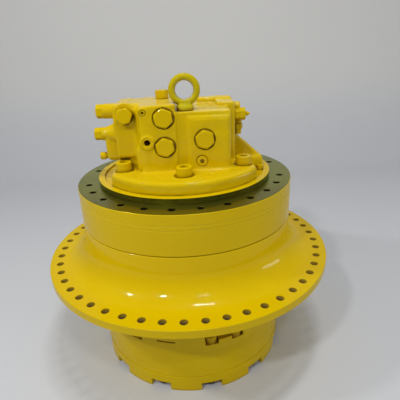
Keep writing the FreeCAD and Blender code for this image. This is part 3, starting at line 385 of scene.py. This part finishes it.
def shade_and_thin_paint_lower_right(tree, parts, centre, inner, outer):
    """Mask of a ring's lower right part, for painted shadow and thin paint where the light and the spray from
    the upper left don't reach.
    """
    away = distance_from(tree, parts.outputs["X"], parts.outputs["Z"], centre)
    side = scalar_math(tree, "SUBTRACT", parts.outputs["X"], centre[0])
    drop = scalar_math(tree, "SUBTRACT", centre[1], parts.outputs["Z"])
    toward = scalar_math(tree, "ADD", scalar_math(tree, "MULTIPLY", side, 0.8),
                         scalar_math(tree, "MULTIPLY", drop, 0.6))
    facing = remap(tree, scalar_math(tree, "DIVIDE", toward, away), 0.25, 0.75, 0.0, 0.8)
    return scalar_math(tree, "MULTIPLY", facing, between(tree, away, inner, outer, soft=0.0008))


def make_plug_finish():
    """Enamel on the hexagons of the front, with painted shade and thin paint, brown, on the flanks that look
    down to the right.
    """
    material, tree, shader = new_material("sunk_plug_enamel")
    facing = add_node(tree, "ShaderNodeSeparateXYZ")
    link(tree, add_node(tree, "ShaderNodeTexCoord").outputs["Normal"], facing.inputs["Vector"])
    # Painted shade with thin paint on the flanks that face down to the right, away from the light
    toward = scalar_math(tree, "SUBTRACT", scalar_math(tree, "MULTIPLY", facing.outputs["X"], 0.8),
                         scalar_math(tree, "MULTIPLY", facing.outputs["Z"], 0.6))
    thin = remap(tree, toward, 0.35, 0.85, 0.0, 0.75)
    tone = place_group(tree, sprayed_enamel)
    relief = place_group(tree, painted_relief, Edge_Radius=0.0012, Peel=0.2)
    link(tree, mixed(tree, thin, tone.outputs["Colour"], SHADE_AND_THIN_PAINT_BROWN), shader.inputs["Base Color"])
    link(tree, tone.outputs["Roughness"], shader.inputs["Roughness"])
    link(tree, relief.outputs["Normal"], shader.inputs["Normal"])
    enamel_coat(shader)
    return material


def make_cast_finish():
    """Enamel on the casting: pale dust of the last coat and painted sheen on top, painted shade round the
    sunk pin, and painted shadow with thin paint on the lower right of the seats of the front plugs and the
    left cap."""
    material, tree, shader = new_material("cast_head_finish")
    parts = add_node(tree, "ShaderNodeSeparateXYZ")
    link(tree, add_node(tree, "ShaderNodeTexCoord").outputs["Object"], parts.inputs["Vector"])
    # Painted shade, brown, in the gap round the sunk pin
    pin = distance_from(tree, parts.outputs["X"], parts.outputs["Z"], pin_plug_centre)
    ring = remap(tree, pin, 0.0088, 0.0105, 0.75, 0.0)
    ring = scalar_math(tree, "MULTIPLY", ring, remap(tree, parts.outputs["Y"], front_face + 0.004,
                                                     front_face + 0.008, 1.0, 0.0))
    front = remap(tree, parts.outputs["Y"], front_half - 0.01, front_half, 1.0, 0.0)
    # Painted shadow with thin paint on the lower right of the plug seats and the cap's seat
    seats = [(centre, plug_seat_inner, plug_seat_outer) for centre in port_plug_centres]
    for centre, inner, outer in seats + [(relief_cap_centre, cap_seat_inner, cap_seat_outer)]:
        shade_and_thin_paint = shade_and_thin_paint_lower_right(tree, parts, centre, inner, outer)
        ring = scalar_math(tree, "MAXIMUM", ring, scalar_math(tree, "MULTIPLY", shade_and_thin_paint, front))
    tone = place_group(tree, sprayed_enamel)
    # Dust and painted sheen on the tops of the blocks
    dust_and_sheen = remap(tree, parts.outputs["Z"], left_block_top - 0.045, left_block_top - 0.03, 0.05, 0.5)
    link(tree, dust_and_sheen, tone.inputs["DustAndSheen"])
    relief = place_group(tree, painted_relief, Edge_Radius=0.0008, Peel=0.35, Cast=1.1)
    link(tree, mixed(tree, ring, tone.outputs["Colour"], SHADE_AND_THIN_PAINT_BROWN), shader.inputs["Base Color"])
    link(tree, tone.outputs["Roughness"], shader.inputs["Roughness"])
    link(tree, relief.outputs["Normal"], shader.inputs["Normal"])
    enamel_coat(shader, cast_coat_weight)
    return material


def make_gauge_plug_finish():
    """Enamel with painted shade, brown, in the socket of the round plug."""
    material, tree, shader = new_material("gauge_plug_finish")
    parts = add_node(tree, "ShaderNodeSeparateXYZ")
    link(tree, add_node(tree, "ShaderNodeTexCoord").outputs["Object"], parts.inputs["Vector"])
    middle = distance_from(tree, parts.outputs["X"], parts.outputs["Z"], gauge_plug_centre)
    tone = place_group(tree, sprayed_enamel)
    # Painted shade in the hex socket
    socket = remap(tree, middle, 0.0055, 0.0068, 0.75, 0.0)
    link(tree, mixed(tree, socket, tone.outputs["Colour"], HOLE_DEEP_SHADE), shader.inputs["Base Color"])
    link(tree, tone.outputs["Roughness"], shader.inputs["Roughness"])
    enamel_coat(shader)
    return material


def make_ring_screw_finish():
    """Sunk screw whose head caught the spray above; painted shade and thin paint leave it brown at its seat.
    """
    material, tree, shader = new_material("ring_screw_finish")
    radius, height = radius_and_height(tree)
    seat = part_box("ring_screws")[1].z - 0.024
    # Painted shade, with thin paint, brown low on the head
    shade_and_thin_paint = remap(tree, height, seat + 0.007, seat + 0.014, 1.0, 0.45)
    tone = place_group(tree, sprayed_enamel, Crevice=0.4)
    link(tree, mixed(tree, shade_and_thin_paint, tone.outputs["Colour"], POCKET_SHADE_BROWN), shader.inputs["Base Color"])
    shader.inputs["Roughness"].default_value = 0.6
    shader.inputs["Specular IOR Level"].default_value = 0.1
    return material


def make_spindle_finish():
    """Yellow enamel, with the bolting face and the pilot left bare, turned and oiled."""
    material, tree, shader = new_material("spindle_finish")
    radius, height = radius_and_height(tree)
    above = remap(tree, height, bolting_face - 0.0016, bolting_face - 0.0008)
    below = remap(tree, height, bare_pilot_top - 0.0003, bare_pilot_top + 0.0003, 1.0, 0.0)
    inside = remap(tree, radius, bare_rim - 0.0004, bare_rim + 0.0002, 1.0, 0.0)
    bare = scalar_math(tree, "MULTIPLY", scalar_math(tree, "MULTIPLY", above, below), inside)
    bare = scalar_math(tree, "MULTIPLY", bare, remap(tree, radius, recess_radius, recess_radius + 0.001))
    # Painted shade: the tapped holes below the bolting face black inside
    deep = between(tree, height, bolting_face - 0.05, bolting_face - 0.0012)
    hole = scalar_math(tree, "MULTIPLY", deep, between(tree, radius, frame_holes_inner, frame_holes_outer))
    upper_groove, lower_groove = [between(tree, height, low, high) for low, high in groove_heights]
    groove = scalar_math(tree, "MAXIMUM", upper_groove, lower_groove)
    tone = place_group(tree, sprayed_enamel)
    # Painted highlight: pale lines along the two grooves, with less painted shade in them
    link(tree, scalar_math(tree, "SUBTRACT", 1.0, scalar_math(tree, "MULTIPLY", groove, 0.7)),
         tone.inputs["Crevice"])
    painted = mixed(tree, scalar_math(tree, "MULTIPLY", groove, 0.6), tone.outputs["Colour"], GROOVE_HIGHLIGHT)
    relief = place_group(tree, painted_relief, Edge_Radius=0.001, Peel=0.25)
    turned = place_group(tree, turned_finish, Ring_Scale=1400.0, Blotch_Scale=9.0)
    place = add_node(tree, "ShaderNodeTexCoord").outputs["Object"]
    parts = add_node(tree, "ShaderNodeSeparateXYZ")
    link(tree, place, parts.inputs["Vector"])
    # Painted shade: the bare steel darker towards the front, added to the blotches of oil film
    front_shade = remap(tree, parts.outputs["Y"], -0.26, -0.08, 0.8, 0.0)
    film = scalar_math(tree, "MULTIPLY", turned.outputs["Blotch"], 0.6)
    film = scalar_math(tree, "MINIMUM", scalar_math(tree, "ADD", film, front_shade), 1.0)
    oiled = mixed(tree, film, OILED_STEEL, OIL_FILM_AND_SHADE)
    # Painted reflections: green and blue patches on the oiled steel
    sheen = remap(tree, noise_value(tree, place, 5.0), 0.58, 0.72, 0.0, 0.5)
    oiled = mixed(tree, sheen, oiled, GREEN_REFLECTION)
    blue = remap(tree, noise_value(tree, place, 7.5), 0.62, 0.74, 0.0, 0.5)
    oiled = mixed(tree, blue, oiled, BLUE_REFLECTION)
    finish = mixed(tree, bare, painted, oiled)
    link(tree, mixed(tree, hole, finish, HOLE_SHADE_BLACK), shader.inputs["Base Color"])
    link(tree, scalar_math(tree, "MULTIPLY", bare, 0.85), shader.inputs["Metallic"])
    gloss = mixed(tree, bare, tone.outputs["Roughness"], (0.24, 0.24, 0.24))
    link(tree, gloss, shader.inputs["Roughness"])
    coat = scalar_math(tree, "MULTIPLY", bare, 0.85)
    coat = scalar_math(tree, "MULTIPLY", scalar_math(tree, "SUBTRACT", 1.0, coat), coat_weight)
    bump = add_node(tree, "ShaderNodeBump")
    set_inputs(bump, Strength=0.25, Distance=0.0002)
    link(tree, scalar_math(tree, "MULTIPLY", turned.outputs["Height"], bare), bump.inputs["Height"])
    link(tree, relief.outputs["Normal"], bump.inputs["Normal"])
    link(tree, bump.outputs["Normal"], shader.inputs["Normal"])
    enamel_coat(shader)
    link(tree, coat, shader.inputs["Coat Weight"])
    return material


def make_worn_eye_finish():
    """Enamel on the forged eye, rubbed through to steel inside the ring."""
    material, tree, shader = new_material("worn_eye_finish")
    place = add_node(tree, "ShaderNodeTexCoord").outputs["Object"]
    low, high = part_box("eye_bolt")
    ring_r = (high.x - low.x) / 2
    ring_centre = Vector(((low.x + high.x) / 2, (low.y + high.y) / 2, high.z - ring_r))
    away = add_node(tree, "ShaderNodeVectorMath", operation="DISTANCE")
    link(tree, place, away.inputs[0])
    away.inputs[1].default_value = ring_centre
    rubbed = remap(tree, away.outputs["Value"], ring_r * 0.60, ring_r * 0.70, 1.0, 0.0)
    parts = add_node(tree, "ShaderNodeSeparateXYZ")
    link(tree, place, parts.inputs["Vector"])
    upper = remap(tree, parts.outputs["Z"], ring_centre.z + ring_r * 0.1, ring_centre.z + ring_r * 0.5,
                  0.35, 1.0)
    worn = scalar_math(tree, "MULTIPLY", rubbed, upper)
    ragged = remap(tree, noise_value(tree, place, 160.0, detail=4.0), 0.4, 0.55)
    worn = scalar_math(tree, "MULTIPLY", worn, ragged)
    tone = place_group(tree, sprayed_enamel, Colour=colour4(EYE_OLIVE), Deep_Colour=colour4(EYE_DEEP),
                       Pale_Colour=colour4(ENAMEL))
    relief = place_group(tree, painted_relief, Edge_Radius=0.0006, Peel=0.6, Cast=1.6)
    link(tree, mixed(tree, worn, tone.outputs["Colour"], BARE_STEEL), shader.inputs["Base Color"])
    link(tree, worn, shader.inputs["Metallic"])
    link(tree, tone.outputs["Roughness"], shader.inputs["Roughness"])
    link(tree, relief.outputs["Normal"], shader.inputs["Normal"])
    enamel_coat(shader)
    return material


def make_metal(name, colour, roughness, ring_scale=1600.0, relief_height=0.15, metallic=1.0):
    """Machined metal with fine tool rings and a thin film of oil in blotches."""
    material, tree, shader = new_material(name)
    turned = place_group(tree, turned_finish, Ring_Scale=ring_scale, Blotch_Scale=30.0)
    darker = tuple(c * 0.7 for c in colour)
    link(tree, mixed(tree, turned.outputs["Blotch"], colour, darker), shader.inputs["Base Color"])
    gloss = remap(tree, turned.outputs["Blotch"], 0.0, 1.0, roughness, roughness * 0.65)
    link(tree, gloss, shader.inputs["Roughness"])
    shader.inputs["Metallic"].default_value = metallic
    bump = add_node(tree, "ShaderNodeBump")
    set_inputs(bump, Strength=relief_height, Distance=0.0002)
    link(tree, turned.outputs["Height"], bump.inputs["Height"])
    link(tree, bump.outputs["Normal"], shader.inputs["Normal"])
    return material


def dress(material, *names):
    """Gives CAD nodes a finish."""
    for name in names:
        piece = nodes[name]
        if not piece.material_slots:
            piece.data.materials.append(material)
        for slot in piece.material_slots:
            slot.material = material


def dress_all():
    machined = make_enamel("machined_enamel", edge=0.0012, peel=0.2)
    dress(make_hub_finish(), "sprocket_hub")
    dress(make_enamel("drum_finish", edge=0.0012, peel=0.25), "ring_gear", "end_cover")
    dress(make_spindle_finish(), "spindle")
    dress(make_plug_finish(), "port_plugs", "relief_cap")
    dress(machined, "head_screws", "pin_plug", "left_plug",
          "left_port_plug", "left_bleeder", "side_cap", "adjuster_body", "adjuster_nut", "adjuster_screw",
          "elbow_fitting", "top_plug", "rim_screw", "oil_plugs")
    dress(make_gauge_plug_finish(), "gauge_plug")
    dress(make_ring_screw_finish(), "ring_screws")
    dress(make_metal("blackened_screw", BLACK_SCREW, 0.45, metallic=0.3), "cover_bolts")
    dress(make_metal("bearing_steel", GROUND_STEEL, 0.18, ring_scale=2200.0), "upper_inner_race",
          "lower_inner_race", "upper_outer_race", "lower_outer_race", "upper_rollers", "lower_rollers",
          "lower_shaft_bearing", "upper_shaft_bearing")
    dress(make_metal("ground_steel", GROUND_STEEL, 0.3), "fixed_seal_ring", "turning_seal_ring",
          "swash_plate", "valve_plate", "brake_piston", "carrier_2_screws", "pistons", "motor_shaft",
          "planet_pins_1", "planet_pins_2", "brake_plates")
    gears = ["planet_gear_%s%s" % (stage, letter) for stage in "12" for letter in "abc"]
    dress(make_metal("gear_steel", GEAR_STEEL, 0.36), "sun_gear_1", "sun_gear_2", *gears)
    dress(make_metal("carrier_iron", IRON, 0.5, metallic=0.6), "carrier_1", "carrier_2", "cylinder_block")
    dress(make_metal("bush_bronze", BRONZE, 0.32), "planet_bushes_1", "planet_bushes_2",
          "upper_roller_cage", "lower_roller_cage")
    dress(make_metal("friction_lining", LINING, 0.8, metallic=0.0, relief_height=0.5), "brake_discs")
    dress(make_metal("spring_steel", BLUED_STEEL, 0.35), "brake_springs")


# The cast head: the machined solid taken to a cast skin with soft corners and a gently wavy face

def final_mesh(piece):
    """Applies what modifiers the piece has."""
    graph = bpy.context.evaluated_depsgraph_get()
    mesh = bpy.data.meshes.new_from_object(piece.evaluated_get(graph))
    piece.modifiers.clear()
    piece.data = mesh
    return piece


def rounded_block(low, high, radius):
    """Closed block between two corners, with all its edges rounded."""
    shape = bmesh.new()
    bmesh.ops.create_cube(shape, size=1.0)
    for vertex in shape.verts:
        vertex.co = [a + (c + 0.5) * (b - a) for a, b, c in zip(low, high, vertex.co)]
    bmesh.ops.bevel(shape, geom=shape.edges[:], offset=radius, segments=5, profile=0.5, affect="EDGES")
    mesh = bpy.data.meshes.new("rounded_block")
    shape.to_mesh(mesh)
    shape.free()
    return mesh


def turned_solid(profile, centre, steps=48):
    """Closed solid turned from (radius, height) points that start and end on the axis."""
    shape = bmesh.new()
    points = [shape.verts.new((radius, 0.0, height)) for radius, height in profile]
    lines = [shape.edges.new(pair) for pair in zip(points, points[1:])]
    bmesh.ops.spin(shape, geom=points + lines, cent=(0, 0, 0), axis=(0, 0, 1), angle=2 * math.pi, steps=steps)
    bmesh.ops.remove_doubles(shape, verts=shape.verts[:], dist=0.00001)
    bmesh.ops.recalc_face_normals(shape, faces=shape.faces[:])
    bmesh.ops.translate(shape, verts=shape.verts[:], vec=centre)
    mesh = bpy.data.meshes.new("turned_solid")
    shape.to_mesh(mesh)
    shape.free()
    return mesh


def united(name, voxel_size, *meshes):
    """One closed skin over several closed solids that run into each other."""
    shape = bmesh.new()
    for mesh in meshes:
        shape.from_mesh(mesh)
    whole = bpy.data.meshes.new(name)
    shape.to_mesh(whole)
    shape.free()
    piece = bpy.data.objects.new(name, whole)
    bpy.context.scene.collection.objects.link(piece)
    voxels = piece.modifiers.new("voxels", "REMESH")
    voxels.mode = "VOXEL"
    voxels.voxel_size = voxel_size
    return final_mesh(piece)


def smooth_where(piece, name, iterations, weight_of):
    """Softens the skin, each vertex by its own weight."""
    group = piece.vertex_groups.new(name=name)
    for vertex in piece.data.vertices:
        weight = weight_of(vertex.co)
        if weight > 0.0:
            group.add([vertex.index], min(weight, 1.0), "REPLACE")
    soften = piece.modifiers.new(name, "SMOOTH")
    soften.factor = 0.5
    soften.iterations = iterations
    soften.vertex_group = name
    return final_mesh(piece)


def finish_skin(piece, material, node):
    """Gives a skin its finish and puts it in its node's place."""
    for polygon in piece.data.polygons:
        polygon.use_smooth = True
    piece.data.materials.clear()
    piece.data.materials.append(material)
    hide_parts(node)
    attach(piece, "frame_side")


def step_up(value, low, high):
    share = min(max((value - low) / (high - low), 0.0), 1.0)
    return share * share * (3.0 - 2.0 * share)


def beside(co, centre):
    """Distance from a line along Y through centre."""
    return math.hypot(co.x - centre[0], co.z - centre[1])


def shape_front(co):
    """Right block: a proud pad, with a sunk band over it and to its left. Left block: a full right edge."""
    pad_left, pad_top, band_depth, band_edge = 0.023, 0.441, 0.006, 0.0095
    if not plate_top + 0.006 < co.z < 0.456 or co.y > front_face + 0.0085 or co.y < front_face - 0.001:
        return
    if co.x > step_between_blocks:
        outside = max(pad_left - co.x, co.z - pad_top)
        back = band_depth * step_up(outside, 0.0, band_edge)
        co.y = max(co.y, front_face + back * step_up(co.z, plate_top + 0.006, plate_top + 0.016))
    elif co.x > -0.03 and min(beside(co, centre) for centre in port_plug_centres) > port_plug_radius + 0.002:
        co.y = front_face


def raise_boss(co):
    """Round boss about the open port, proud of the left block's face and of the corner beside it."""
    bore, radius, proud, rounding = 0.0092, 0.0215, 0.006, 0.005
    reach = beside(co, open_port_centre)
    if not bore < reach < radius or not front_face - 0.003 < co.y < front_face + 0.02:
        return
    if min(beside(co, centre) for centre in port_plug_centres) > port_plug_radius + 0.001:
        co.y = min(co.y, front_face - proud * (1.0 - step_up(reach, radius - rounding, radius)))


def foot_weight(co):
    """Weight of the wide fillet where the blocks stand on the foot plate."""
    if co.z < pilot_top + 0.004:
        return 0.0
    return 1.0 - max(0.0, abs(co.z - plate_top) - 0.008) / 0.022


def corner_weight(co):
    """Weight of the soft run from the wing into the front of the left block."""
    if co.y > -0.055 or co.z < plate_top + 0.004:
        return 0.0
    near = 1.0 - max(0.0, abs(co.x - left_side) - 0.012) / 0.02
    clear = min(beside(co, open_port_centre) / 0.018, beside(co, pin_plug_centre) / 0.013) - 0.75
    return near * min(max(clear * 4.0, 0.0), 1.0)


def make_cast_head():
    column = rounded_block((-0.1922, front_face + 0.058, 0.326), (-0.125, -0.06, 0.44), 0.009)
    rear_rise = rounded_block((0.05, 0.022, 0.44), (0.158, 0.07, 0.476), 0.006)
    low_web = rounded_block((-0.134, -0.134, 0.296), (-0.10, -0.06, 0.37), 0.013)
    high_web = rounded_block((-0.128, -0.112, 0.34), (-0.10, -0.06, 0.473), 0.01)
    head = united("cast_head", 0.0018, nodes["motor_head"].data, column, rear_rise, low_web, high_web)
    for vertex in head.data.vertices:
        shape_front(vertex.co)
    smooth_where(head, "foot_fillet", 44, foot_weight)
    smooth_where(head, "soft_corner", 190, corner_weight)
    for vertex in head.data.vertices:
        raise_boss(vertex.co)
    smooth_where(head, "skin", 6, lambda co: 1.0)
    deep_floor, raised_floor, floor_inner = front_face + 0.008, front_face + 0.0035, 0.0205
    for vertex in head.data.vertices:
        reach = min(beside(vertex.co, centre) for centre in port_plug_centres)
        if floor_inner < reach < port_plug_radius - 0.001 and abs(vertex.co.y - deep_floor) < 0.0025:
            vertex.co.y = raised_floor
    normals = [vertex.normal.copy() for vertex in head.data.vertices]
    for vertex, normal in zip(head.data.vertices, normals):
        if vertex.co.z < pilot_top + 0.002:
            continue
        wave = noise.noise(vertex.co * 28.0) * 0.0011 + noise.noise(vertex.co * 75.0) * 0.0004
        vertex.co += normal * wave
    finish_skin(head, make_cast_finish(), "motor_head")


def make_forged_eye():
    """Forged eye bolt: the ring runs into its shank and a stout round collar."""
    low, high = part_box("eye_bolt")
    collar = [(0.0, -0.001), (0.0225, -0.001), (0.0245, 0.003), (0.0245, 0.009), (0.022, 0.0135),
              (0.0185, 0.0165), (0.0165, 0.021), (0.0165, 0.027), (0.0, 0.027)]
    centre = ((low.x + high.x) / 2, (low.y + high.y) / 2, 0.46)
    eye = united("forged_eye", 0.001, nodes["eye_bolt"].data, turned_solid(collar, centre))
    smooth_where(eye, "forging", 10, lambda co: 1.0)
    finish_skin(eye, make_worn_eye_finish(), "eye_bolt")


# Surroundings, light and camera

def make_floor():
    """Pale floor that curves up into a backdrop well behind the drive."""
    half_width, front, back, curve_r, wall_top = 8.0, -6.0, 2.6, 0.9, 5.0
    profile = [(front, 0.0), (back - curve_r, 0.0)]
    steps = 12
    for k in range(1, steps + 1):
        angle = math.pi / 2 * k / steps
        profile.append((back - curve_r + curve_r * math.sin(angle), curve_r * (1 - math.cos(angle))))
    profile.append((back, wall_top))
    points = [(x, y, floor_z + z) for y, z in profile for x in (-half_width, half_width)]
    faces = [(2 * k, 2 * k + 1, 2 * k + 3, 2 * k + 2) for k in range(len(profile) - 1)]
    mesh = bpy.data.meshes.new("studio_floor")
    mesh.from_pydata(points, [], faces)
    for polygon in mesh.polygons:
        polygon.use_smooth = True
    floor = bpy.data.objects.new("studio_floor", mesh)
    bpy.context.scene.collection.objects.link(floor)
    material, tree, shader = new_material("studio_grey")
    place = add_node(tree, "ShaderNodeTexCoord").outputs["Object"]
    parts = add_node(tree, "ShaderNodeSeparateXYZ")
    link(tree, place, parts.inputs["Vector"])
    rise = remap(tree, parts.outputs["Z"], floor_z + 0.1, floor_z + 0.9)
    link(tree, mixed(tree, rise, FLOOR_GREY, WALL_GREY), shader.inputs["Base Color"])
    shader.inputs["Roughness"].default_value = 0.9
    mesh.materials.append(material)


def make_lamp(name, azimuth, elevation, distance, width, height, power):
    """Soft box seen from the drive at azimuth, measured from +X, and elevation, facing the drive."""
    azimuth, elevation = math.radians(azimuth), math.radians(elevation)
    away = Vector((math.cos(azimuth) * math.cos(elevation), math.sin(azimuth) * math.cos(elevation),
                   math.sin(elevation)))
    data = bpy.data.lights.new(name, "AREA")
    data.shape = "RECTANGLE"
    data.size = width
    data.size_y = height
    data.energy = power
    lamp = bpy.data.objects.new(name, data)
    lamp.location = away * distance
    lamp.rotation_mode = "QUATERNION"
    lamp.rotation_quaternion = away.to_track_quat("Z", "Y")
    bpy.context.scene.collection.objects.link(lamp)


def make_light():
    world = bpy.data.worlds.new("studio")
    world.use_nodes = True
    world.node_tree.nodes["Background"].inputs["Color"].default_value = (0.96, 0.97, 1.0, 1.0)
    world.node_tree.nodes["Background"].inputs["Strength"].default_value = 0.27
    bpy.context.scene.world = world
    make_lamp("ceiling_lamp", azimuth=-60, elevation=79, distance=3.4, width=0.7, height=0.3, power=33)
    make_lamp("left_lamp", azimuth=-158, elevation=44, distance=3.2, width=0.3, height=0.14, power=20)
    make_lamp("key_lamp", azimuth=-120, elevation=44, distance=3.4, width=0.22, height=0.12, power=26)
    make_lamp("high_front_lamp", azimuth=-78, elevation=48, distance=3.2, width=0.36, height=0.09, power=11)
    make_lamp("right_lamp", azimuth=-6, elevation=6, distance=3.4, width=1.4, height=0.4, power=16)


def make_camera():
    """Camera that sees the drive as the photograph does."""
    place = Vector((0.00747, -1.15854, 0.61309))
    forward = Vector((0.03043674, 0.92727175, -0.37314971)).normalized()
    upward = Vector((0.0566968, 0.37111996, 0.92685244)).normalized()
    right = forward.cross(upward).normalized()
    upward = right.cross(forward)
    data = bpy.data.cameras.new("camera")
    data.sensor_width = 36.0
    data.lens = 33.615
    data.clip_start = 0.05
    camera = bpy.data.objects.new("camera", data)
    turn = Matrix((right, upward, -forward)).transposed()
    camera.matrix_world = Matrix.Translation(place) @ turn.to_4x4()
    bpy.context.scene.collection.objects.link(camera)
    bpy.context.scene.camera = camera


bpy.context.scene.view_settings.view_transform = "Standard"
dress_all()
make_cast_head()
make_forged_eye()
make_floor()
make_light()
make_camera()
